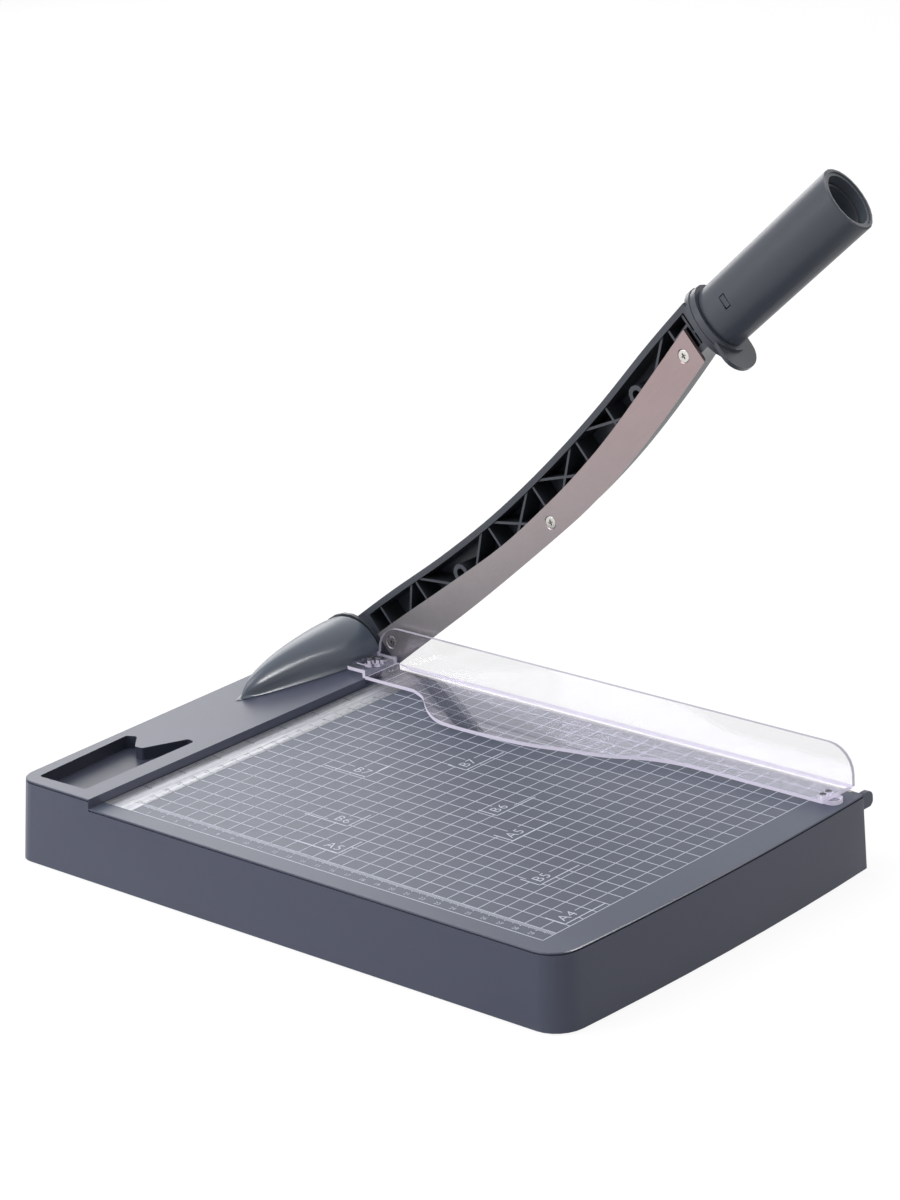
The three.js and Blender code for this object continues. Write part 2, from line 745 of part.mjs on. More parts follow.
piece('pivot_bolt', pivotBolt(), screwSteel, arm);
piece('head_washer', turned('x', washerProfile(armOuter - counterboreDepth + seat, washerRadius),
  [0, 0]), darkSteel, arm);
piece('pivot_spring', pivotSpring(), darkSteel, arm);
piece('spring_washer', turned('x', washerProfile(springEnd - seat - washerThickness, washerRadius),
  [0, 0]), darkSteel, arm);
piece('lock_nut', lockNut(), screwSteel, arm);

// Hood: a domed nose with a ridge along each side and a flute down to a flared foot
const superellipse = (share, power) => (share < 1 ? (1 - share ** power) ** (1 / power) : 0);
const hoodFloor = stripRise + seat;
const hoodMiddle = (back) => pivotY - THREE.MathUtils.lerp(hoodShift, noseShift, back / hoodLength);
const hoodHeight = (back) => hoodRise * superellipse(back / domeLength, risePower)
  - hoodEasing * Math.max(1 - back / hoodRound, 0) ** 2;

function hoodRing(back) {
  const foot = hoodFoot * superellipse(back / hoodLength, footPower);
  const lip = hoodLip * superellipse(back / hoodLength, 2);
  const width = Math.min(Math.hypot(hoodCrown * superellipse(back / domeLength, crownPower), lip), foot);
  const height = Math.hypot(hoodHeight(back), lip);
  const share = THREE.MathUtils.lerp(hoodMouthRidgeShare, hoodRidgeShare,
    THREE.MathUtils.smoothstep(back / hoodLength, 0, 1 / 2));
  const crown = (part) => {
    const angle = THREE.MathUtils.lerp(share, 1, part) * Math.PI / 2;
    return new THREE.Vector2(width * Math.cos(angle), height * Math.sin(angle));
  };
  const flute = new THREE.QuadraticBezierCurve(
    new THREE.Vector2(foot, 0),
    new THREE.Vector2(THREE.MathUtils.lerp(foot, width * hoodFluteShare, share / hoodRidgeShare), 0),
    crown(0),
  );
  const half = [];
  for (let i = 0; i < hoodFluteSteps; i += 1) half.push(flute.getPoint(i / hoodFluteSteps));
  for (let i = 0; i <= hoodCrownSteps; i += 1) half.push(crown(i / hoodCrownSteps));
  const place = (side) => ({ x: across, y: up }) => [
    -hoodMouth - back, hoodMiddle(back) + side * across, hoodFloor + up];
  return [...half.map(place(-1)), ...half.slice(0, -1).reverse().map(place(1))];
}

// The room inside follows the skin, open at the mouth and below
function hoodRoom() {
  const ring = (back, ahead = 0) => hoodRing(back).map(([x, y, z], i, { length }) => {
    const [across, up] = [y - hoodMiddle(back), z - hoodFloor];
    const share = 1 - hoodRoomSetback / Math.hypot(across, up);
    const atFoot = i === 0 || i === length - 1;
    return [x + ahead, hoodMiddle(back) + across * share,
      hoodFloor + (atFoot ? -overrun : up * share)];
  });
  const reach = hoodLength - hoodTip;
  const steps = hoodStations / 2;
  return loft([ring(0, overrun), ...Array.from({ length: steps + 1 }, (_, i) => (
    ring(reach * Math.sin((i / steps) * Math.PI / 2))))]);
}

function pivotHood() {
  const rings = [];
  for (let i = 0; i < hoodStations; i += 1) {
    rings.push(hoodRing(hoodLength * Math.sin((i / hoodStations) * Math.PI / 2)));
  }
  const keep = (inset) => slab([-bedWidth, bedWidth],
    [0, stripDepthRight - hoodRear - inset], [hoodFloor - 2 * overrun, bedHeight * 2]);
  const outer = loft(rings).intersect(keep(0));
  const shell = outer.subtract(hoodRoom().intersect(keep(hoodWall)));
  const posts = hoodScrewPlaces.map((centre) => rod('z', centre, hoodPostRadius,
    [hoodFloor, hoodFloor + hoodRise], smallSteps).intersect(outer));
  const holes = hoodScrewPlaces.map((centre) => rod('z', centre, hoodScrewRadius + seat,
    [hoodFloor - overrun, hoodFloor + hoodScrewReach + seat], smallSteps));
  return cut(joined(shell, ...posts), ...holes);
}

piece('pivot_hood', pivotHood(), hoodPlastic);
hoodScrewPlaces.forEach((centre, i) => {
  const head = stripUnder - seat;
  piece(`hood_screw_${i + 1}`, turned('z', [
    [head - hoodScrewHead, 0], [head - hoodScrewHead, hoodScrewHeadRadius],
    [head, hoodScrewHeadRadius], [head, hoodScrewRadius],
    [hoodFloor + hoodScrewReach, hoodScrewRadius], [hoodFloor + hoodScrewReach, 0],
  ], centre, smallSteps), screwSteel);
});

// Long edges of the arm and the blade, as curves through their shares
const edgeCurve = (shares, reach, height) => new THREE.SplineCurve(
  shares.map(([along, across]) => new THREE.Vector2(reach * along, height * across)));
const topEdge = edgeCurve(armTopShares, armReach, armTop);
const cutEdge = edgeCurve(cutEdgeShares, bladeReach, -bladeDrop);
const innerEdge = edgeCurve(innerEdgeShares, bladeReach, -bladeDrop);

function heightAt(curve, u) {
  let [low, high] = [0, 1];
  for (let i = 0; i < edgeSteps; i += 1) {
    const middle = (low + high) / 2;
    if (curve.getPoint(middle).x < u) low = middle;
    else high = middle;
  }
  return curve.getPoint(low).y;
}

// A band between two edges, from one place along the arm to another
function band(upper, lower, [from, to], steps = edgeSteps) {
  const shape = new THREE.Shape();
  for (let i = 0; i <= steps; i += 1) {
    const u = to + ((from - to) * i) / steps;
    if (i === 0) shape.moveTo(-u, upper(u));
    else shape.lineTo(-u, upper(u));
  }
  for (let i = 0; i <= steps; i += 1) {
    const u = from + ((to - from) * i) / steps;
    shape.lineTo(-u, lower(u));
  }
  return shape;
}

const armUpper = (inset) => (u) => heightAt(topEdge, u) - inset;
const armLower = (inset) => (u) => heightAt(cutEdge, Math.min(u, bladeReach)) + bladeProud + inset;

// A thin wall between two points of the arm, square to its open side
function armRib([u0, w0], [u1, w1]) {
  const along = new THREE.Vector2(w1 - w0, u1 - u0).normalize().multiplyScalar(armRibThickness / 2);
  const outline = new THREE.Shape([
    new THREE.Vector2(-u0 - along.x, w0 - along.y),
    new THREE.Vector2(-u1 - along.x, w1 - along.y),
    new THREE.Vector2(-u1 + along.x, w1 + along.y),
    new THREE.Vector2(-u0 + along.x, w0 + along.y),
  ]);
  return plate('x', outline, [armInner + armRibSetback, armOuter - armSkin / 2]);
}

function armRibs() {
  const foot = (u) => [u, armLower(0)(u)];
  const head = (u) => [u, armUpper(0)(u)];
  const uprights = armUprightShares.map((share) => armRib(head(armReach * share), foot(armReach * share)));
  const braces = armBraceShares.map(([top, low]) => armRib(head(armReach * top), foot(armReach * low)));
  return joined(...uprights, ...braces, ...endRibs());
}

// Ribs round the blade's end: across the arm, along the blade's back, and to the collar
function endRibs() {
  const across = bladeReach + endRibGap;
  const behind = armReach * armUprightShares.at(-1);
  const back = (u) => heightAt(innerEdge, Math.min(u, bladeReach)) + armRibThickness;
  const low = armLower(0)(across);
  const web = back(across) + (low - back(across)) * endRibShare;
  return [
    armRib([across, armUpper(0)(across)], [across, low]),
    armRib([behind, back(behind)], [across, back(across)]),
    armRib([across, web], [armReach, web]),
  ];
}

// The channel of the arm, with its ribs and bosses
const bladeScrewPlaces = bladeScrewShares.map(([u, w]) => [-bladeReach * u, -bladeDrop * w]);
const ringBossPlaces = ringBossShares.map(([u, w]) => [-armReach * u, bladeDrop * w]);

function armBeam() {
  const outline = band(armUpper(0), armLower(0), [hubCoreRadius / 3, armReach]);
  const hollow = band(armUpper(armWall), armLower(armWall), [hubRadius + armWall, armReach - armWall]);
  const beam = plate('x', outline, [armInner, armOuter]);
  const pocket = plate('x', hollow, [armInner - overrun, armOuter - armSkin]);
  const bosses = [
    ...bladeScrewPlaces.map((centre) => rod('x', centre, screwBossRadius,
      [armInner, armOuter - armSkin / 2], smallSteps)),
    ...ringBossPlaces.map((centre) => rod('x', centre, ringBossRadius,
      [armInner, armOuter - armSkin / 2], smallSteps)),
  ];
  const inner = armRibs().intersect(plate('x', band(armUpper(armWall / 2), armLower(armWall / 2),
    [hubRadius, armReach]), [armInner, armOuter]));
  const held = joined(inner, ...bosses).intersect(beam);
  return beam.subtract(pocket).add(held);
}

// Oval solids round the handle's axis
function oval(profile) {
  const points = profile.map(([u, radius]) => new THREE.Vector2(radius, -u)).reverse();
  const lathe = new THREE.LatheGeometry(points, roundSteps).scale(ovalShare, 1, 1);
  return solid(lathe.translate(handleX, 0, handleW));
}

const collarStart = armReach - collarStep;
const collarFace = collarStart + collarLength;

function collar() {
  const ring = oval([
    [collarStart, 0], [collarStart, collarRadius], [collarStart + collarFlange, collarRadius],
    [collarStart + collarFlange, collarRadius - collarStep], [collarFace, collarEnd], [collarFace, 0],
  ]);
  const half = guardTongueWidth / 2;
  const root = handleW - collarRadius / 2;
  const tip = handleW - guardTongueDrop;
  const tongue = plate('y', rounded([
    [root, handleX - half], [root, handleX + half],
    [tip, handleX + half, half - seat], [tip, handleX - half, half - seat],
  ].reverse()), [-collarStart - guardTongueSet - guardTongueThickness, -collarStart - guardTongueSet]);
  return ring.add(tongue);
}

// Inside of the grip, and the tang that it slides over
const gripFace = collarFace + seat;
const gripTip = gripFace + gripLength;
const snapStart = collarFace + snapFromCollar;
const snapSide = handleX - gripStart * ovalShare;
const snapMiddle = handleW + snapRise;

function tang() {
  const spigot = gripStart - gripWall / ovalShare - seat;
  const end = gripTip - tangSetback;
  const outer = oval([
    [collarFace - overrun, 0], [collarFace - overrun, spigot], [collarFace + spigotLength, spigot],
    [collarFace + spigotLength, tangRadius], [end, tangRadius], [end, 0],
  ]);
  const hollow = oval([
    [end - tangHollow, 0], [end - tangHollow, tangRadius - tangWall],
    [end + overrun, tangRadius - tangWall], [end + overrun, 0],
  ]);
  const snap = slab([snapSide + snapProud, handleX],
    [-snapStart - snapLength, -snapStart], [snapMiddle - snapHeight / 2, snapMiddle + snapHeight / 2]);
  return joined(outer.subtract(hollow), snap);
}

function grip() {
  const bore = gripWall / ovalShare;
  const tube = oval([
    [gripFace, gripStart - bore], [gripFace, gripStart],
    [gripTip - gripRound, gripEnd], [gripTip, gripEnd - gripRound],
    [gripTip, gripEnd - gripRim], [gripTip - gripStep, gripEnd - gripRim],
    [gripTip - gripStep, gripEnd - bore], [gripFace, gripStart - bore],
  ]);
  const window = slab([snapSide - overrun, handleX],
    [-snapStart - snapLength - snapGap, -snapStart + snapGap],
    [snapMiddle - snapHeight / 2 - snapGap, snapMiddle + snapHeight / 2 + snapGap]);
  return tube.subtract(window);
}

// The hub, bored for its bush and sunk on the outside for the bolt head
function hub() {
  const disc = rod('x', [0, 0], hubRadius, [hubInner, hubInner + hubFlange])
    .add(rod('x', [0, 0], hubCoreRadius, [hubInner, armOuter]));
  const boss = rod('x', [0, 0], hubBossRadius, [-hubBossInner + seat, hubInner + overrun]);
  return disc.add(boss);
}

function bladeArm() {
  const body = joined(armBeam(), hub(), collar(), tang());
  const sunk = armOuter - counterboreDepth;
  const bore = rod('x', [0, 0], hubBushRadius + seat, [-hubBossRadius, sunk + overrun]);
  const counterbore = rod('x', [0, 0], counterboreRadius, [sunk, armOuter + overrun]);
  const screwHoles = bladeScrewPlaces.map((centre) => rod('x', centre, screwRadius + seat,
    [armInner - overrun, armInner + bladeScrewLength], smallSteps));
  const ringHoles = ringBossPlaces.map((centre) => rod('x', centre, ringBossHole,
    [armInner - overrun, armOuter - armSkin], smallSteps));
  return cut(body, bore, counterbore, ...screwHoles, ...ringHoles);
}

piece('blade_arm', bladeArm(), armPlastic, arm);
piece('handle_grip', grip(), gripPlastic, arm);

// Bush in the hub and the cap over the bolt head
const hubBushStart = -hubBossInner + seat;
piece('hub_bush', turned('x', [
  [hubBushStart, bushBore], [hubBushStart, hubBushRadius],
  [armOuter - counterboreDepth, hubBushRadius], [armOuter - counterboreDepth, bushBore],
  [hubBushStart, bushBore],
], [0, 0]), bronze, arm);
piece('hub_cap', turned('x', [
  [armOuter - capThickness + capProud, 0],
  [armOuter - capThickness + capProud, counterboreRadius - seat],
  [armOuter, counterboreRadius - seat], [armOuter + capProud, counterboreRadius - seat - capProud],
  [armOuter + capProud, 0],
], [0, 0]), armPlastic, arm);

// Moving blade: a curved bar, ground to an edge on its outer side
function movingBlade() {
  const upper = (u) => heightAt(innerEdge, u);
  const lower = (u) => heightAt(cutEdge, u);
  const faces = [bladeGap, bladeGap + bladeThickness];
  const bar = plate('x', band(upper, lower, [bladeStart, bladeReach]), faces);
  const ground = loft([bladeStart - overrun, ...Array.from({ length: edgeSteps + 1 },
    (_, i) => bladeStart + ((bladeReach - bladeStart) * i) / edgeSteps), bladeReach + overrun]
    .map((u) => [
      [faces[0], -u, lower(u) - overrun],
      [faces[1] + overrun, -u, lower(u) - overrun],
      [faces[1] + overrun, -u, lower(u) + bladeBevel * (1 + overrun / bladeThickness)],
      [faces[0] + seat, -u, lower(u)],
    ]));
  const holes = bladeScrewPlaces.map((centre) => turned('x', [
    [faces[0] - overrun, 0], [faces[0] - overrun, countersunkRadius + seat],
    [faces[0], countersunkRadius + seat], [faces[0] + countersunkDepth + seat, screwRadius + seat],
    [faces[1] + overrun, screwRadius + seat], [faces[1] + overrun, 0],
  ], centre, smallSteps));
  return cut(bar, ground, ...holes);
}

piece('moving_blade', movingBlade(), bladeSteel, arm);
bladeScrewPlaces.forEach((centre, i) => {
  const head = bladeGap + seat;
  piece(`blade_screw_${i + 1}`, turned('x', [
    [head, 0], [head, countersunkRadius], [head + countersunkDepth, screwRadius],
    [head + bladeScrewLength, screwRadius], [head + bladeScrewLength, 0],
  ], centre, smallSteps), screwSteel, arm);
});

// Clear guard: a plate over the bed that bulges where it is pressed down, an upright fin
// beside the blade, a tab screwed to the strip and a foot at the front
function guardPlate() {
  const bulge = new THREE.SplineCurve(bulgeShares.map(([along, out]) => new THREE.Vector2(
    -guardWidth - (guardBulge - guardWidth) * out, -guardFront * along)));
  const outline = new THREE.Shape();
  outline.moveTo(-guardEdge, overrun - guardShoulder);
  outline.lineTo(-guardWidth, overrun - guardShoulder);
  for (const point of bulge.getPoints(edgeSteps)) outline.lineTo(point.x, point.y);
  outline.lineTo(-guardWidth, -guardFront);
  outline.lineTo(-guardEdge, -guardFront);
  return plate('z', outline, [guardLift, guardLift + guardThickness]);
}

// The plate widens and rises to the fence, where it stands in a recess
function guardShoulderBlock() {
  const section = (y, wide, low) => [
    [-wide, y, low], [-guardEdge, y, low],
    [-guardEdge, y, low + guardThickness], [-wide, y, low + guardThickness],
  ];
  const raised = guardLift + guardShoulderRise;
  return loft([
    section(guardThickness, tabLeft, raised), section(0, tabLeft, raised),
    section(-guardShoulder, guardWidth, guardLift),
  ]);
}

const tabLow = stripRise + seat + tabLift;
const tabTop = tabLow + tabThickness;

function guardFin() {
  const raised = guardLift + guardShoulderRise;
  return plate('x', rounded([
    [-finFront, guardLift + guardThickness],
    [-guardFront + guardThickness, guardLift],
    [-guardShoulder, guardLift],
    [0, raised],
    [guardThickness, raised],
    [guardThickness, tabLow],
    [finBack, tabLow],
    [finBack, guardTop, finRound],
    [-finFront, guardTop, finRound],
  ]), [-guardEdge - guardThickness, -guardEdge]);
}

function guardTab() {
  const tab = plate('z', rounded([
    [-tabLeft, 0, tabRound], [-guardEdge, 0], [-guardEdge, tabDepth - seat],
    [-tabLeft, tabDepth - seat, tabRound],
  ]), [tabLow, tabTop]);
  const sunk = slab([-tabLeft + tabLeftRim, -guardEdge - guardThickness],
    [tabRim, tabDepth - seat - tabRim], [tabTop - tabSunk, tabTop + overrun]);
  const riser = slab([-tabLeft, -guardEdge], [0, guardThickness],
    [guardLift + guardShoulderRise, tabTop]);
  const posts = guardScrewPlaces.map((centre) => rod('z', centre, tabPostRadius,
    [stripRise + seat, tabTop - tabSunk], smallSteps));
  return joined(tab, riser, ...posts).subtract(sunk);
}

function clearGuard() {
  const low = -guardFront - guardFootProud;
  const high = low + guardFootDepth;
  const end = guardFootX + guardFootWidth;
  const foot = plate('z', rounded([
    [guardFootX, low, guardFootRound], [end, low, guardFootRound],
    [end, high, guardFootRound], [guardFootX, high, guardFootRound],
  ]), [seat, guardLift + seat]);
  const body = joined(guardPlate(), guardShoulderBlock(), guardTab(), guardFin(), foot);
  const holes = [...guardScrewPlaces, ...guardPinPlaces].map((centre) => rod('z', centre,
    guardScrewRadius + seat, [-overrun, guardTop], smallSteps));
  const sinks = guardPinPlaces.map((centre) => rod('z', centre, guardScrewHeadRadius + seat,
    [guardLift + guardThickness / 2, guardTop], smallSteps));
  return cut(body, ...holes, ...sinks);
}

piece('clear_guard', clearGuard(), clearPlastic);

function guardScrew(centre, face) {
  return turned('z', [
    [face - guardScrewLength, 0], [face - guardScrewLength, guardScrewRadius],
    [face, guardScrewRadius], [face, guardScrewHeadRadius],
    [face + guardScrewHead, guardScrewHeadRadius * ovalShare], [face + guardScrewHead, 0],
  ], centre, smallSteps);
}

guardScrewPlaces.forEach((centre, i) => {
  piece(`tab_screw_${i + 1}`, guardScrew(centre, tabTop - tabSunk + seat), screwSteel);
});
guardPinPlaces.forEach((centre, i) => {
  piece(`guard_pin_${i + 1}`, guardScrew(centre, guardLift + guardThickness / 2 + seat), darkSteel);
});

// The origin goes to the middle of the whole cutter, on the table
model.updateMatrixWorld(true);
const bounds = new THREE.Box3().setFromObject(model, true);
const middle = bounds.getCenter(new THREE.Vector3());
model.position.set(-middle.x, -middle.y, -bounds.min.z);

export default model;
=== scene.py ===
"""Guillotine paper cutter for A4 sheets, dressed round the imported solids, in metres.

The file follows the cutter as it is put together: the moulded base and its feet, the print
and the scale, the knives, the pivot, the screws that show, the hood, the arm and its handle,
the clear guard, then the room.
"""

import math

import bpy
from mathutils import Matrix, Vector


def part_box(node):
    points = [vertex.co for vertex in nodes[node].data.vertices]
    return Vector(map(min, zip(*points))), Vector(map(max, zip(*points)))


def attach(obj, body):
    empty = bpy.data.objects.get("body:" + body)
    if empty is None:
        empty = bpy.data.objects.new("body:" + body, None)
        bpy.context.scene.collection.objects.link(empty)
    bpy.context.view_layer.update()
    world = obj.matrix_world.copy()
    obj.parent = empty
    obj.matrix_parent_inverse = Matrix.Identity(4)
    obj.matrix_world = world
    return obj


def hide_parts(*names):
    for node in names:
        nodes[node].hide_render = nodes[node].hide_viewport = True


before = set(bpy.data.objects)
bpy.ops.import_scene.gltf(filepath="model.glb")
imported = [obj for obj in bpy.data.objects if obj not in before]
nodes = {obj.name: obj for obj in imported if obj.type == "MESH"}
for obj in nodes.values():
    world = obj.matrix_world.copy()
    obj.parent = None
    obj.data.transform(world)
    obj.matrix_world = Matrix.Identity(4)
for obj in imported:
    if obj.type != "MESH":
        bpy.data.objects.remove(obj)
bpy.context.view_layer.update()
bpy.ops.object.select_all(action="DESELECT")

# ---------------------------------------------------------------------------------------
# Base. One injection moulding in blue-grey plastic with a fine spark-eroded grain: bed,
# fence strip, tray and end lug. The bed is a shade lighter than the walls, and the tray is
# painted darker, as painted shade in its recess.
# ---------------------------------------------------------------------------------------
MM = 0.001


class Value:
    """One output of a node, with the operators that maths on values needs."""

    def __init__(self, graph, socket):
        self.graph = graph
        self.socket = socket

    def other(self, name):
        """Another output of the same node."""
        return Value(self.graph, self.socket.node.outputs[name])

    def maths(self, operation, *terms):
        return self.graph.node("ShaderNodeMath", {"operation": operation}, *terms)

    def __add__(self, other):
        return self.maths("ADD", self, other)

    __radd__ = __add__

    def __sub__(self, other):
        return self.maths("SUBTRACT", self, other)

    def __rsub__(self, other):
        return self.maths("SUBTRACT", other, self)

    def __mul__(self, other):
        return self.maths("MULTIPLY", self, other)

    def __truediv__(self, other):
        return self.maths("DIVIDE", self, other)

    def __pow__(self, other):
        return self.maths("POWER", self, other)

    def __abs__(self):
        return self.maths("ABSOLUTE", self)

    def __gt__(self, other):
        return self.maths("GREATER_THAN", self, other)

    def __lt__(self, other):
        return self.maths("LESS_THAN", self, other)

    def larger(self, other):
        return self.maths("MAXIMUM", self, other)

    def clamped(self):
        return self.graph.node("ShaderNodeClamp", {}, self)


class Graph:
    """A tree of nodes, and one method that adds any node to it."""

    def __init__(self, tree):
        self.tree = tree

    def plug(self, socket, value):
        """Links a value to a socket, or sets the socket's own value."""
        if isinstance(value, Value):
            self.tree.links.new(value.socket, socket)
        elif socket.type == "RGBA" and len(value) == 3:
            socket.default_value = (*value, 1)
        else:
            socket.default_value = value

    def node(self, kind, settings, *values, **named):
        """A new node's first output, with its inputs plugged in order or by name."""
        made = self.tree.nodes.new(kind)
        for setting, value in settings.items():
            setattr(made, setting, value)
        for socket, value in zip(made.inputs, values):
            self.plug(socket, value)
        for socket, value in named.items():
            self.plug(made.inputs[socket.replace("_", " ")], value)
        return Value(self, next(s for s in made.outputs if s.enabled))


class Finish(Graph):
    """A material: its Principled shader, and the patterns that vary it."""

    def __init__(self, name, **sockets):
        self.material = bpy.data.materials.new(name)
        self.material.use_nodes = True
        super().__init__(self.material.node_tree)
        self.shader = self.tree.nodes["Principled BSDF"]
        for socket, value in sockets.items():
            self.set(socket.replace("_", " "), value)

    def set(self, socket, value):
        self.plug(self.shader.inputs[socket], value)

    def place(self, scale=(1, 1, 1), turn=(0, 0, 0)):
        """Object coordinates, turned and then scaled."""
        where = self.node("ShaderNodeTexCoord", {}).other("Object")
        turned = self.node("ShaderNodeMapping", {}, Vector=where, Rotation=turn)
        return self.node("ShaderNodeVectorMath", {"operation": "MULTIPLY"}, turned, scale)

    def axis(self, letter):
        """How far along one axis a point lies."""
        return self.node("ShaderNodeSeparateXYZ", {}, self.place()).other(letter)

    def noise(self, grain, detail=2.0, **where):
        """Soft noise from 0 to 1, with grains of one size."""
        return self.node("ShaderNodeTexNoise", {},
                         Vector=self.place(**where), Scale=1 / grain, Detail=detail)

    def blend(self, factor, first, second):
        """A colour between two colours."""
        mix = self.tree.nodes.new("ShaderNodeMix")
        mix.data_type = "RGBA"
        for socket, value in (("Factor_Float", factor), ("A_Color", first), ("B_Color", second)):
            self.plug(next(s for s in mix.inputs if s.identifier == socket), value)
        return Value(self, next(s for s in mix.outputs if s.identifier == "Result_Color"))

    def bump(self, height, depth, strength):
        self.set("Normal", self.node("ShaderNodeBump", {},
                                     Height=height, Distance=depth, Strength=strength))

    def overlay(self, factor, shader):
        """Lays another shader over the first one, where the factor says."""
        output = self.tree.nodes["Material Output"].inputs["Surface"]
        base = Value(self, self.shader.outputs[0])
        self.plug(output, self.node("ShaderNodeMixShader", {}, factor, base, shader))


def grained_plastic(name, colour, roughness, grain=0.25 * MM, depth=0.02 * MM, gloss=0.5):
    """Moulded plastic: a fine grain, and a faint drift of tone over the piece."""
    drift = 0.06
    finish = Finish(name, Specular_IOR_Level=gloss)
    darker = [channel * (1 - drift) for channel in colour]
    lighter = [channel * (1 + drift) for channel in colour]
    finish.set("Base Color", finish.blend(finish.noise(60 * MM, 1.0), darker, lighter))
    speck = finish.noise(grain, 3.0)
    finish.set("Roughness", roughness + (speck - 0.5) * 0.08)
    finish.bump(speck, depth, 0.5)
    return finish


def dress(names, finish, angle=32):
    """Finishes solids on the mesh they have, and smooths what is rounder than the angle."""
    for name in names:
        node = nodes[name]
        node.data.materials.clear()
        node.data.materials.append(finish.material)
        node.data.polygons.foreach_set("use_smooth", [True] * len(node.data.polygons))
        weld = node.modifiers.new("merged", "WELD")
        weld.merge_threshold = 0.001 * MM
        split = node.modifiers.new("creases", "EDGE_SPLIT")
        split.split_angle = math.radians(angle)
        split.use_edge_sharp = False


base_plastic = grained_plastic("base plastic", (0.074, 0.082, 0.128), 0.34, gloss=0.35)
# The tray's faces get a darker copy of the base plastic: painted shade in the recess.
tray_painted_shade = grained_plastic("tray plastic with painted shade", (0.045, 0.051, 0.078), 0.36, gloss=0.3)
bed_plastic = grained_plastic("bed plastic", (0.079, 0.095, 0.142), 0.36, gloss=0.35)
dress(["base_shell"], base_plastic)
nodes["base_shell"].data.materials.append(tray_painted_shade.material)
nodes["base_shell"].data.materials.append(bed_plastic.material)
tray_slot, bed_slot = 1, 2

knife_low, knife_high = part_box("fixed_knife")
bed = knife_high.z
base_low, base_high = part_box("base_shell")
tray_low = (base_low.x + 6 * MM, base_high.y - 58 * MM, base_high.z - 8 * MM)
tray_high = (base_low.x + 128 * MM, base_high.y - 6 * MM, base_high.z - 1 * MM)
for face in nodes["base_shell"].data.polygons:
    in_tray = all(low < at < high for low, at, high in zip(tray_low, face.center, tray_high))
    if in_tray and face.normal.z > -0.5:
        face.material_index = tray_slot
    elif abs(face.center.z - bed) < 0.1 * MM and face.normal.z > 0.9:
        face.material_index = bed_slot

# ---------------------------------------------------------------------------------------
# Rubber feet. Four plugs of black elastomer, one near each corner of the base, each pressed
# by its stem into a socket from below.
# ---------------------------------------------------------------------------------------
rubber = grained_plastic("foot rubber", (0.014, 0.015, 0.017), 0.8,
                         grain=0.6 * MM, depth=0.05 * MM)
dress([name for name in nodes if name.startswith("foot_")], rubber)

# ---------------------------------------------------------------------------------------
# Print on the bed. Screen-printed pale ink: a 10 mm grid inside a frame, a ruler along its
# left side, and a corner mark for each paper size, drawn from the cut edge and the fence.
# ---------------------------------------------------------------------------------------
cut_edge = knife_high.x
fence = knife_high.y + 0.3 * MM
scale_low, scale_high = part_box("scale_strip")
ink_film = 0.04 * MM
grid_pitch = 10 * MM
grid_line = 0.48 * MM
grid_columns = 22
grid_rows = 30
hidden_rows = 2                 # rows of the grid that lie under the scale strip
ruler_width = 10 * MM
quarter_turn = -math.pi / 2

ink = Finish("bed ink", Roughness=0.5)
ink.set("Base Color", ink.blend(ink.noise(0.5 * MM), (0.56, 0.6, 0.7), (0.78, 0.82, 0.94)))


def bar(name, low, high, bottom=bed, film=ink_film):
    """A thin flat box of ink between two corners."""
    bpy.ops.mesh.primitive_cube_add(size=1, location=(
        (low[0] + high[0]) / 2, (low[1] + high[1]) / 2, bottom + film / 2))
    made = bpy.context.object
    made.name = name
    made.scale = (high[0] - low[0], high[1] - low[1], film)
    bpy.ops.object.transform_apply(location=True, rotation=True, scale=True)
    return made


def repeated(piece, count, step):
    """Copies the piece in a row, and makes the row one mesh."""
    array = piece.modifiers.new("row", "ARRAY")
    array.count = count
    array.use_relative_offset = False
    array.use_constant_offset = True
    array.constant_offset_displace = step
    bpy.ops.object.select_all(action="DESELECT")
    piece.select_set(True)
    bpy.context.view_layer.objects.active = piece
    bpy.ops.object.modifier_apply(modifier=array.name)
    return piece


def carve(piece, cutter):
    """Takes the cutter's shape out of the piece."""
    bpy.ops.object.select_all(action="DESELECT")
    piece.select_set(True)
    bpy.context.view_layer.objects.active = piece
    cut = piece.modifiers.new("cut", "BOOLEAN")
    cut.operation = "DIFFERENCE"
    cut.solver = "EXACT"
    cut.object = cutter
    bpy.ops.object.modifier_apply(modifier=cut.name)
    bpy.data.objects.remove(cutter)


def lettering(text, height, place, turn, bottom=bed, spacing=1.0):
    """Plain figures as a film of ink, centred on a place, and turned about it."""
    thinning = 0.012 * height
    bpy.ops.object.text_add(location=(*place, bottom), rotation=(0, 0, turn))
    made = bpy.context.object
    made.data.body = text
    made.data.size = height
    made.data.space_character = spacing
    made.data.align_x = "CENTER"
    made.data.align_y = "CENTER"
    made.data.resolution_u = 3
    made.data.extrude = ink_film / 2
    made.data.offset = -thinning
    bpy.ops.object.convert(target="MESH")
    made = bpy.context.object
    made.location.z += ink_film / 2
    bpy.ops.object.transform_apply(location=True, rotation=True, scale=True)
    return made


def gathered(name, pieces, finish, body="base"):
    """Joins pieces into one that rides on a body, with its finish."""
    bpy.ops.object.select_all(action="DESELECT")
    for piece in pieces:
        piece.select_set(True)
    bpy.context.view_layer.objects.active = pieces[0]
    bpy.ops.object.join()
    made = bpy.context.object
    made.name = name
    made.data.name = name
    made.data.materials.clear()
    made.data.materials.append(finish.material)
    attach(made, body)
    return made


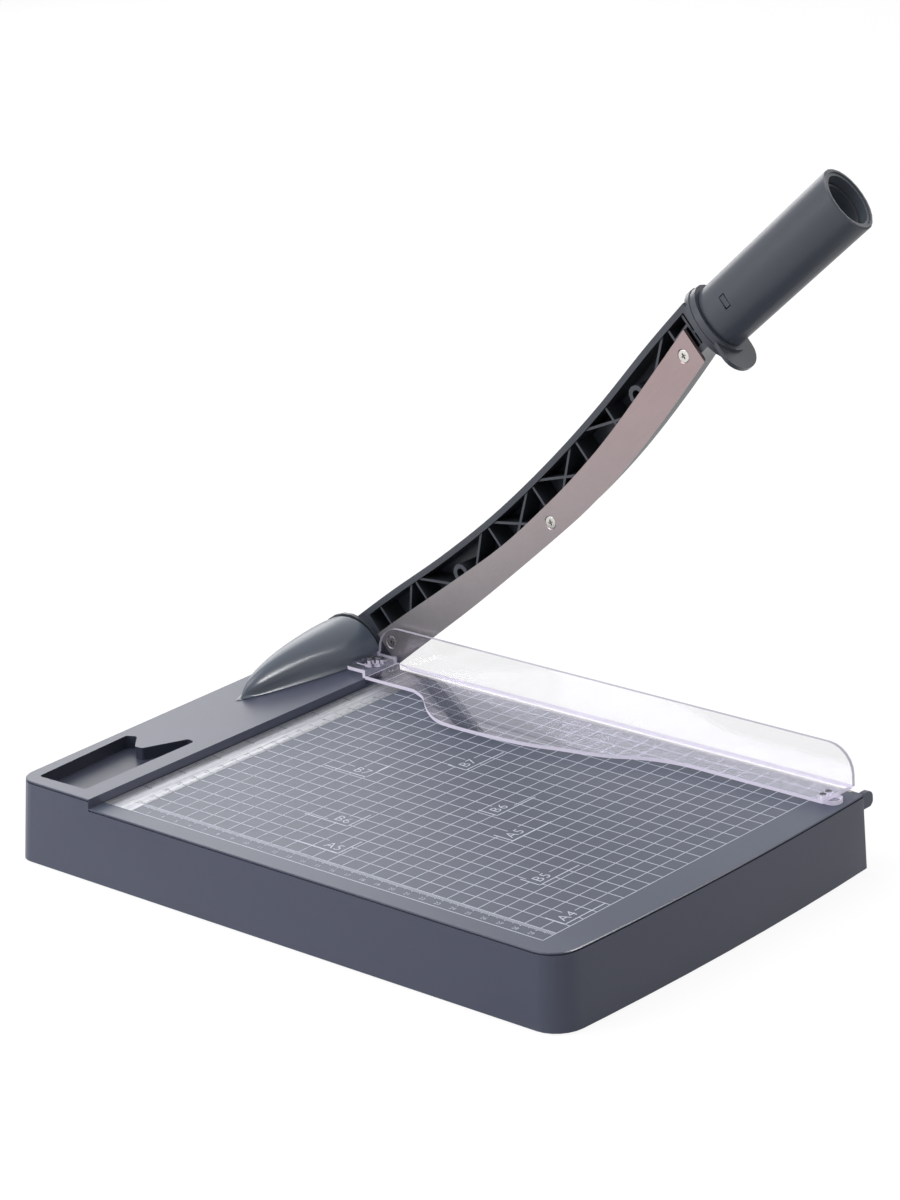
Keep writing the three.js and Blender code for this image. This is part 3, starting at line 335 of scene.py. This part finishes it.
# Each sheet's length and width in mm. A label is the sheet's name, the corner of its mark,
# and whether the sheet lies across the bed.
sheets = {"A4": (297, 210), "B5": (257, 182), "A5": (210, 148), "B6": (182, 128), "B7": (128, 91)}
labels = []
for sheet, (length, width) in sheets.items():
    labels.append((sheet, (cut_edge - width * MM, fence - length * MM), False))
for sheet in ("A5", "B6", "B7"):
    length, width = sheets[sheet]
    labels.append((sheet, (cut_edge - length * MM, fence - width * MM), True))


def name_middle(corner, across):
    """The middle of a sheet's name, from the corner of its mark."""
    right, up = (5.6 * MM, 8 * MM) if across else (8 * MM, 5.6 * MM)
    return corner[0] + right, corner[1] + up


half_line = grid_line / 2
grid_left = cut_edge - grid_columns * grid_pitch
grid_front = fence - grid_rows * grid_pitch
grid_back = scale_low.y - 0.4 * MM
grid_right = knife_low.x - 1.5 * MM
frame_left = grid_left - ruler_width

columns = bar("columns", (grid_left - half_line, grid_front), (grid_left + half_line, grid_back))
repeated(columns, grid_columns, (grid_pitch, 0, 0))
rows = bar("rows", (grid_left, grid_front - half_line), (grid_right, grid_front + half_line))
repeated(rows, grid_rows - hidden_rows, (0, grid_pitch, 0))
for lines in (columns, rows):
    for sheet, corner, across in labels:
        x, y = name_middle(corner, across)
        half_x, half_y = (4.9 * MM, 7.3 * MM) if across else (7.3 * MM, 4.9 * MM)
        carve(lines, bar("gap", (x - half_x, y - half_y), (x + half_x, y + half_y),
                         bed - 1 * MM, 2 * MM))
outer_line = bar("outer_line", (frame_left - half_line, grid_front),
                 (frame_left + half_line, grid_back))
end_line = bar("end_line", (frame_left - half_line, grid_front - half_line),
               (grid_left, grid_front + half_line))
gathered("bed_grid", [columns, rows, outer_line, end_line], ink)

# The ruler's ticks: how far each kind reaches, where it starts, its step and its number,
# and its layers of ink, so that no two faces lie in one plane.
tick_line = 0.42 * MM
ruler = []
for name, reach, first, step, count, layers in (
        ("ticks", 2.6 * MM, 0, 1 * MM, 10 * (grid_rows - hidden_rows) + 1, 1),
        ("fives", 3.2 * MM, 5 * MM, grid_pitch, grid_rows - hidden_rows, 1.2),
        ("tens", 3.6 * MM, 0, grid_pitch, grid_rows - hidden_rows + 1, 1.2)):
    start = grid_front + first
    tick = bar(name, (grid_left - reach, start - tick_line / 2),
               (grid_left, start + tick_line / 2), bed, ink_film * layers)
    ruler.append(repeated(tick, count, (0, step, 0)))
for row in range(hidden_rows + 1, grid_rows):
    place = (frame_left + 3.1 * MM, fence - row * grid_pitch)
    ruler.append(lettering(str(row), 3.6 * MM, place, quarter_turn))
gathered("bed_ruler", ruler, ink)

mark_line = 0.65 * MM
mark_film = ink_film * 1.5
marks = []
for sheet, corner, across in labels:
    x, y = corner
    reach_x, reach_y = (18 * MM, 30 * MM) if across else (30 * MM, 13 * MM)
    marks.append(bar(sheet + "_line", corner, (x + reach_x, y + mark_line), bed, mark_film))
    marks.append(bar(sheet + "_side", corner, (x + mark_line, y + reach_y), bed, mark_film))
    marks.append(lettering(sheet, 9 * MM, name_middle(corner, across),
                           quarter_turn if across else 0, spacing=1.1))
gathered("sheet_marks", marks, ink)

# ---------------------------------------------------------------------------------------
# Scale strip. A satin-anodised aluminium rule, brushed along its length and set in a shallow
# seat beside the fence, with centimetres along its near edge and inches along the fence.
# ---------------------------------------------------------------------------------------
scale_metal = Finish("anodised strip", Metallic=0.55)
sweep = scale_metal.noise(1.6 * MM, 3.0, scale=(0.025, 1, 1))
fleck = scale_metal.noise(1.5 * MM, 3.0, scale=(0.4, 1, 1))
brushed = ((sweep - 0.5) * 2.4 + (fleck - 0.5) * 0.9 + 0.5).clamped()
scale_metal.set("Base Color", scale_metal.blend(brushed, (0.2, 0.21, 0.245), (0.47, 0.48, 0.51)))
scale_metal.set("Roughness", 0.34 + (sweep - 0.5) * 0.15)
dress(["scale_strip"], scale_metal)

scale_ink = Finish("scale ink", Roughness=0.5)
scale_ink.set("Base Color", scale_ink.blend(
    scale_ink.noise(0.4 * MM), (0.05, 0.055, 0.07), (0.1, 0.11, 0.13)))
inch = 25.4 * MM
inches = 8
hairline = 0.22 * MM
edge_gap = 0.3 * MM
scale_marks = []
for step, reach in ((1, 1.8 * MM), (5, 2.6 * MM), (10, 3.4 * MM)):
    count = 10 * grid_columns // step
    start = cut_edge - count * step * MM
    tick = bar(f"tick_{step}", (start, scale_low.y + edge_gap),
               (start + hairline + step * MM / 40, scale_low.y + reach),
               scale_high.z, ink_film * (1 + step / 50))
    scale_marks.append(repeated(tick, count, (step * MM, 0, 0)))
for part, reach in ((16, 1.8 * MM), (4, 2.8 * MM), (1, 4 * MM)):
    count = inches * part
    start = cut_edge - inches * inch
    tick = bar(f"inch_{part}", (start, scale_high.y - reach),
               (start + hairline + 0.3 * MM / part, scale_high.y - edge_gap),
               scale_high.z, ink_film * (1 + 1 / part))
    scale_marks.append(repeated(tick, count, (inch / part, 0, 0)))
for count in range(1, grid_columns + 1):
    place = (cut_edge - count * grid_pitch, scale_low.y + 5.2 * MM)
    scale_marks.append(lettering(str(count), 3.8 * MM, place, 0, scale_high.z))
for count in range(1, inches + 1):
    place = (cut_edge - count * inch, scale_high.y - 5.8 * MM)
    scale_marks.append(lettering(str(count), 4.4 * MM, place, 0, scale_high.z))
gathered("scale_marks", scale_marks, scale_ink)

# ---------------------------------------------------------------------------------------
# Knives. Tool steel, ground along their length: a fixed bar screwed to the base at the cut
# edge, and a curved blade that is screwed to the arm, pinkish, and greyer near the pivot.
# ---------------------------------------------------------------------------------------
def ground_steel(name, turn=(0, 0, 0)):
    """Steel with fine grinding lines along one direction, and the pattern of its tones."""
    finish = Finish(name, Metallic=0.85)
    lines = finish.noise(0.35 * MM, 3.0, turn=turn, scale=(1, 0.015, 1))
    cloud = finish.noise(30 * MM, turn=turn)
    finish.set("Roughness", 0.36 + (lines - 0.5) * 0.2 + (cloud - 0.5) * 0.06)
    finish.bump(lines, 0.01 * MM, 0.4)
    return finish, lines * 0.7 + cloud * 0.3


knife_crease = 25
fixed_steel, ground = ground_steel("ground knife")
fixed_steel.set("Base Color", fixed_steel.blend(ground, (0.34, 0.33, 0.33), (0.46, 0.44, 0.44)))
dress(["fixed_knife"], fixed_steel, knife_crease)

blade_slope = (math.radians(41.3), 0, 0)
grey_below = 70 * MM
pink_above = 240 * MM
blade_steel, ground = ground_steel("ground blade", blade_slope)
streaks = blade_steel.noise(0.5 * MM, 3.0, turn=blade_slope, scale=(1, 0.1, 1))
pink_tone = blade_steel.blend(ground, (0.3, 0.225, 0.23), (0.43, 0.33, 0.335))
grey_tone = blade_steel.blend(streaks, (0.34, 0.32, 0.325), (0.46, 0.435, 0.445))
warmth = ((blade_steel.axis("Z") - grey_below) / (pink_above - grey_below)).clamped()
blade_steel.set("Base Color", blade_steel.blend(warmth, grey_tone, pink_tone))
dress(["moving_blade"], blade_steel, knife_crease)

# ---------------------------------------------------------------------------------------
# Pivot. A steel bracket screwed in the well, sintered bronze bushes, and a bolt with its
# washers, compression spring and lock nut, which hold the two knives together.
# ---------------------------------------------------------------------------------------
def mottled_metal(name, metallic, dull, bright, mottle, roughness, wear, grain, detail=2.0):
    """Metal that drifts between two tones, with a gloss that varies a little."""
    finish = Finish(name, Metallic=metallic)
    finish.set("Base Color", finish.blend(finish.noise(mottle, detail), dull, bright))
    finish.set("Roughness", roughness + finish.noise(grain, detail) * wear)
    return finish


screw_steel = mottled_metal("plated screw", 1.0, (0.55, 0.53, 0.5), (0.75, 0.73, 0.7),
                            mottle=2 * MM, roughness=0.2, wear=0.15, grain=1 * MM)
dark_steel = mottled_metal("blackened steel", 0.9, (0.07, 0.075, 0.085), (0.13, 0.135, 0.15),
                           mottle=3 * MM, roughness=0.35, wear=0.2, grain=0.8 * MM)
bronze = mottled_metal("sintered bronze", 0.9, (0.24, 0.13, 0.05), (0.42, 0.26, 0.12),
                       mottle=0.5 * MM, roughness=0.35, wear=0.25, grain=0.5 * MM, detail=4.0)
dress([name for name in nodes if "screw" in name or name in ("pivot_bolt", "lock_nut")],
      screw_steel)
dress(["pivot_bracket", "thrust_washer", "head_washer", "spring_washer", "pivot_spring"],
      dark_steel)
dress(["bracket_bush", "hub_bush"], bronze)

# ---------------------------------------------------------------------------------------
# Screws that show. Steel with a cross recess in the head: plated and countersunk in the
# knife and the blade, and small dark panheads in the guard. Each stands for its plain solid.
# ---------------------------------------------------------------------------------------
def choose(piece, test):
    """Selects the faces whose normal passes the test, and opens edit mode."""
    bpy.ops.object.mode_set(mode="EDIT")
    bpy.ops.mesh.select_mode(type="FACE")
    bpy.ops.mesh.select_all(action="DESELECT")
    bpy.ops.object.mode_set(mode="OBJECT")
    for face in piece.data.polygons:
        face.select = test(face.normal)
    bpy.ops.object.mode_set(mode="EDIT")


def cross_screw(head, head_height, shank, length, flared, crown):
    """A screw along Z with the top of its head at zero, flared or flat under the head."""
    bpy.ops.mesh.primitive_cylinder_add(
        vertices=32, radius=head, depth=head_height, location=(0, 0, -head_height / 2))
    screw = bpy.context.object
    bpy.ops.object.transform_apply(location=True)
    choose(screw, lambda normal: normal.z < -0.9)
    if flared:
        bpy.ops.transform.resize(value=(shank / head, shank / head, 1))
    else:
        bpy.ops.mesh.inset(thickness=head - shank)
    bpy.ops.mesh.extrude_region_move(
        TRANSFORM_OT_translate={"value": (0, 0, head_height - length)})
    choose(screw, lambda normal: normal.z > 0.9)
    bpy.ops.mesh.bevel(offset=crown, segments=4, affect="EDGES")
    bpy.ops.object.mode_set(mode="OBJECT")
    recess = 0.5 * head
    for turn in (0, math.pi / 2):
        bpy.ops.mesh.primitive_cube_add(
            size=1, rotation=(0, 0, turn), scale=(1.25 * head, 0.34 * head, 2 * recess))
        wing = bpy.context.object
        bpy.ops.object.transform_apply(location=False, rotation=True, scale=True)
        choose(wing, lambda normal: normal.z < -0.9)
        bpy.ops.transform.resize(value=(0.5, 0.5, 1))
        bpy.ops.object.mode_set(mode="OBJECT")
        carve(screw, wing)
    return screw


def drive(pattern, node, body, facing, spin, finish):
    """Puts a copy of the screw where its solid is, with its head to one side."""
    low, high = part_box(node)
    middle = (low + high) / 2
    turn, place = {
        "left": ((0, -math.pi / 2, 0), (low.x, middle.y, middle.z)),
        "right": ((0, math.pi / 2, 0), (high.x, middle.y, middle.z)),
        "up": ((0, 0, 0), (middle.x, middle.y, high.z)),
    }[facing]
    bpy.ops.object.select_all(action="DESELECT")
    pattern.select_set(True)
    bpy.context.view_layer.objects.active = pattern
    bpy.ops.object.duplicate()
    made = bpy.context.object
    made.name = node + "_cross"
    made.data.name = made.name
    for angle in ((0, 0, spin), turn):
        made.rotation_euler = angle
        bpy.ops.object.transform_apply(location=False, rotation=True, scale=True)
    made.location = place
    bpy.ops.object.transform_apply(location=True, rotation=False, scale=False)
    bpy.ops.object.shade_smooth_by_angle(angle=math.radians(35))
    made.data.materials.append(finish.material)
    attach(made, body)
    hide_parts(node)


countersunk = cross_screw(head=3.6 * MM, head_height=1.7 * MM, shank=1.9 * MM, length=6.7 * MM,
                          flared=True, crown=0.4 * MM)
for count, spin in enumerate((0.5, 1.1, 0.2, 0.8), 1):
    drive(countersunk, f"knife_screw_{count}", "base", "right", spin, screw_steel)
for count, spin in enumerate((0.9, 0.35, 0.6), 1):
    drive(countersunk, f"blade_screw_{count}", "arm", "left", spin, screw_steel)
bpy.data.objects.remove(countersunk)

panhead = cross_screw(head=1.9 * MM, head_height=1 * MM, shank=1.1 * MM, length=9.9 * MM,
                      flared=False, crown=0.5 * MM)
for count, spin in enumerate((0.3, 1.0), 1):
    drive(panhead, f"tab_screw_{count}", "base", "up", spin, dark_steel)
    drive(panhead, f"guard_pin_{count}", "base", "up", spin, dark_steel)
bpy.data.objects.remove(panhead)

# ---------------------------------------------------------------------------------------
# Hood. A thin bullet-shaped shell over the pivot, moulded in smooth satin plastic and held
# by two screws from below.
# ---------------------------------------------------------------------------------------
hood_plastic = grained_plastic("hood plastic", (0.098, 0.119, 0.154), 0.29,
                               grain=0.2 * MM, depth=0.004 * MM)
dress(["pivot_hood"], hood_plastic, angle=40)

# ---------------------------------------------------------------------------------------
# Arm and handle. The arm is one glass-filled moulding with open cells, and the grip is a
# hollow oval tube that is pushed over its tang and snaps in.
# ---------------------------------------------------------------------------------------
arm_plastic = grained_plastic("arm plastic", (0.058, 0.065, 0.084), 0.3, depth=0.012 * MM)
grip_plastic = grained_plastic("grip plastic", (0.052, 0.06, 0.079), 0.33, depth=0.012 * MM)
# Painted shade: the cells get a darker copy of the arm plastic. Painted light: the bore gets a
# lighter copy of the grip plastic, which is also glossier.
cell_painted_shade = grained_plastic("arm cell painted shade", (0.026, 0.03, 0.038), 0.42, grain=0.3 * MM)
bore_painted_light = grained_plastic("grip bore painted light", (0.13, 0.15, 0.18), 0.12,
                               grain=0.4 * MM, depth=0.002 * MM)
tang_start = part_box("handle_grip")[0].z + 22 * MM


def line_hollows(name, reach):
    """Paints shade in the cells and light in the bore, on faces that look at their own piece
    close by.
    """
    node = nodes[name]
    outer_slot, cell_shade_slot, bore_light_slot = 0, 1, 2
    node.data.materials.append(cell_painted_shade.material)
    node.data.materials.append(bore_painted_light.material)
    slots = []
    for face in node.data.polygons:
        start = face.center + face.normal * 0.01 * MM
        enclosed = node.ray_cast(start, face.normal, distance=reach)[0]
        painted_hollow_slot = cell_shade_slot if face.center.z < tang_start else bore_light_slot
        slots.append(painted_hollow_slot if enclosed else outer_slot)
    node.data.polygons.foreach_set("material_index", slots)


dress(["blade_arm", "hub_cap"], arm_plastic)
dress(["handle_grip"], grip_plastic)
line_hollows("blade_arm", 30 * MM)
line_hollows("handle_grip", 40 * MM)

# ---------------------------------------------------------------------------------------
# Clear guard. One piece of clear plastic with a faint lavender tint, screwed down at both
# ends: a plate, an upright fin, and a riser up to the tab. Its large faces are polished, and
# its cut edges are pale and matt and glow with painted light. The fin's faces and edges are
# painted lighter than the plate's.
# ---------------------------------------------------------------------------------------
plate_top = bed + 4.6 * MM
riser_top = plate_top + 9 * MM
fin_start = cut_edge - 5 * MM
# The emission is painted light: it makes the cut edges glow.
clear_plastic = Finish("clear plastic", Emission_Strength=0.35)
height = clear_plastic.axis("Z")
geometry = clear_plastic.node("ShaderNodeNewGeometry", {})
normal = clear_plastic.node("ShaderNodeSeparateXYZ", {}, geometry.other("True Normal"))
over_plate = height > plate_top
by_edge = clear_plastic.axis("X") > fin_start
in_fin = over_plate * by_edge
in_riser = over_plate * (1 - by_edge) * (height < riser_top)


def large_faces(letter, region):
    """One where a face looks along the axis and lies in the region."""
    return (abs(normal.other(letter)) > 0.9) * region


polished = large_faces("Z", 1 - in_fin).larger(large_faces("X", in_fin)).larger(
    large_faces("Y", in_riser))
slant = clear_plastic.node("ShaderNodeLayerWeight", {}, 0.5).other("Facing")
mirror = 0.1 + slant ** 5       # a flat sheet mirrors more, the more it is seen at a slant
# Painted light: the fin's polished faces reflect a lighter tint than the plate's, and its cut
# edges are paler than the plate's.
sheet_painted_tone = clear_plastic.blend(in_fin, (0.8, 0.785, 0.87), (0.48, 0.47, 0.53))
edge_painted_glow = clear_plastic.blend(in_fin, (0.72, 0.67, 0.8), (0.33, 0.315, 0.4))
clear_plastic.set("Base Color", clear_plastic.blend(polished, edge_painted_glow, sheet_painted_tone))
clear_plastic.set("Metallic", polished)
clear_plastic.set("Roughness", 0.3 - polished * 0.285 + clear_plastic.noise(8 * MM) * 0.01)
clear_plastic.set("Alpha", mirror * polished + (1 - polished) * 0.85)
clear_plastic.set("Emission Color", clear_plastic.blend(polished, edge_painted_glow, (0, 0, 0)))
dress(["clear_guard"], clear_plastic)

# ---------------------------------------------------------------------------------------
# Room. A white table in a white room, soft light from above, from behind and from the left,
# a small lamp for the streak along the hood, and the camera where the photograph was taken.
# ---------------------------------------------------------------------------------------
def seen(graph):
    """One for rays from the camera, from a gloss or through clear plastic."""
    rays = graph.node("ShaderNodeLightPath", {})
    return (rays + rays.other("Is Glossy Ray") + rays.other("Is Transmission Ray")).clamped()


bpy.ops.mesh.primitive_plane_add(size=8, location=(0, 0, -0.05 * MM))
floor = bpy.context.object
floor.name = "floor"
paper = Finish("white table", Base_Color=(0.6, 0.6, 0.6), Roughness=0.9)
paper.overlay(seen(paper) * 0.75, paper.node("ShaderNodeEmission", {}, (1, 1, 1), 1.2))
floor.data.materials.append(paper.material)

studio_light = 0.28
world = bpy.data.worlds.new("studio")
bpy.context.scene.world = world
world.use_nodes = True
room = Graph(world.node_tree)
background = world.node_tree.nodes["Background"]
room.plug(background.inputs["Color"], (1, 1, 1))
room.plug(background.inputs["Strength"], studio_light + seen(room) * (1 - studio_light))


def softbox(name, place, aim, size, power):
    """A rectangular lamp that shines from a place towards a point."""
    bpy.ops.object.light_add(type="AREA", location=place)
    lamp = bpy.context.object
    lamp.name = name
    lamp.data.shape = "RECTANGLE"
    lamp.data.size, lamp.data.size_y = size
    lamp.data.energy = power
    lamp.rotation_mode = "QUATERNION"
    lamp.rotation_quaternion = (Vector(aim) - Vector(place)).to_track_quat("-Z", "Y")
    lamp.visible_camera = False
    lamp.visible_transmission = False
    return lamp


softbox("overhead", (-0.5, 0.6, 1.8), (0, 0, 0.05), (1.4, 1.4), 20)
softbox("behind", (0.93, 1.76, 0.95), (0, 0.1, 0.05), (1.2, 1.4), 11.5)
softbox("left", (-1.7, 1.0, 0.7), (-0.1, 0.1, 0.03), (0.9, 0.9), 13)
streak = softbox("hood streak", (0.26, -0.64, 0.7), (0.037, 0.159, 0.055), (0.5, 0.34), 15)
streak.visible_diffuse = False

# The camera's place is fitted from the corner of the bed at the cut edge and the fence.
camera_angles = (70.313, 3.1115, -48.165)
bpy.ops.object.camera_add(location=(cut_edge - 1.54438, fence - 1.47631, bed + 0.803),
                          rotation=[math.radians(angle) for angle in camera_angles])
camera = bpy.context.object
camera.data.sensor_width = 36
camera.data.lens = 122.73
camera.data.clip_start, camera.data.clip_end = 0.1, 20
bpy.context.scene.camera = camera
bpy.context.scene.view_settings.view_transform = "Standard"
